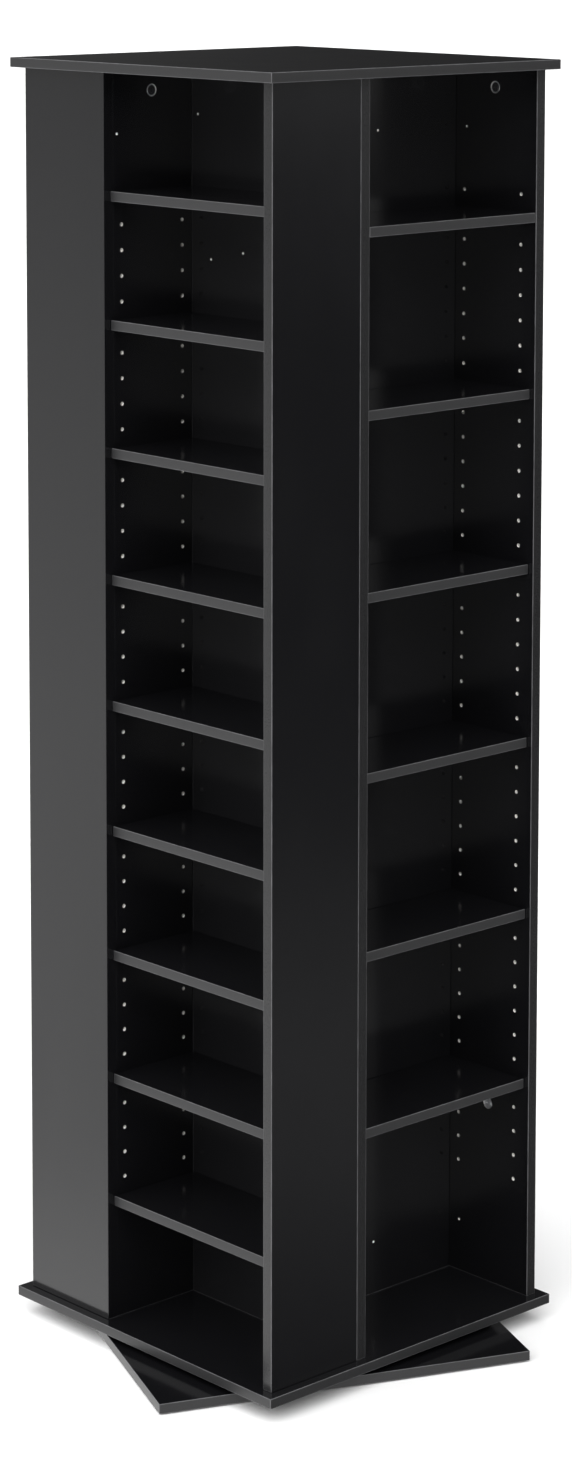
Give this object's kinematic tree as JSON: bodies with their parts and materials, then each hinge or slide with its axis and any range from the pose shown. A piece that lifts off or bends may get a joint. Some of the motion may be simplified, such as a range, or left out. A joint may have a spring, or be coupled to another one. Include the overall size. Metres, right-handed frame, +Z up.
{
  "type": "rotating media tower",
  "caption": "Tall four-sided case with open shelved bays for discs and film cases on every side, turning on a flat ball bearing over a square base board.",
  "frame": {"origin": "on the floor, on the vertical axis that the tower turns on", "axes": "+Z up along the turning axis; -Y out of the first disc bay and +X out of the first film bay, as the case stands at rest"},
  "size_m": [0.642, 0.642, 1.6355],
  "materials": {
    "laminate": "black satin laminate on particle board",
    "plate_steel": "zinc-plated pressed steel",
    "ball_steel": "polished",
    "pad": "matte"
  },
  "bodies": {
    "base": {"base_board": "laminate", "floor_pad_1": "pad", "floor_pad_2": "pad", "floor_pad_3": "pad", "floor_pad_4": "pad", "bearing_lower_plate": "plate_steel"},
    "ball_ring": {"bearing_ball_ring": "ball_steel"},
    "tower": {"bearing_upper_plate": "plate_steel", "bottom_board": "laminate", "top_board": "laminate", "partition_1": "laminate", "partition_2": "laminate", "film_end_panel_1": "laminate", "film_end_panel_2": "laminate", "disc_side_panel_1": "laminate", "disc_side_panel_2": "laminate", "inner_wall_1": "laminate", "inner_wall_2": "laminate", "disc_shelf_1_1": "laminate", "disc_shelf_1_2": "laminate", "disc_shelf_1_3": "laminate", "disc_shelf_1_4": "laminate", "disc_shelf_1_5": "laminate", "disc_shelf_1_6": "laminate", "disc_shelf_1_7": "laminate", "disc_shelf_1_8": "laminate", "disc_shelf_1_9": "laminate", "disc_shelf_2_1": "laminate", "disc_shelf_2_2": "laminate", "disc_shelf_2_3": "laminate", "disc_shelf_2_4": "laminate", "disc_shelf_2_5": "laminate", "disc_shelf_2_6": "laminate", "disc_shelf_2_7": "laminate", "disc_shelf_2_8": "laminate", "disc_shelf_2_9": "laminate", "film_shelf_1_1": "laminate", "film_shelf_1_2": "laminate", "film_shelf_1_3": "laminate", "film_shelf_1_4": "laminate", "film_shelf_1_5": "laminate", "film_shelf_1_6": "laminate", "film_shelf_2_1": "laminate", "film_shelf_2_2": "laminate", "film_shelf_2_3": "laminate", "film_shelf_2_4": "laminate", "film_shelf_2_5": "laminate", "film_shelf_2_6": "laminate"}
  },
  "joints": [
    {"name": "tower_spin", "type": "hinge", "parent": "base", "child": "tower", "pos_m": [0, 0, 0.0185], "axis": [0, 0, 1], "continuous": true},
    {"name": "ball_ring_roll", "type": "hinge", "parent": "base", "child": "ball_ring", "pos_m": [0, 0, 0.0185], "axis": [0, 0, 1], "continuous": true}
  ],
  "couplings": [
    {"joint": "ball_ring_roll", "follows": "tower_spin", "ratio": 0.5}
  ]
}
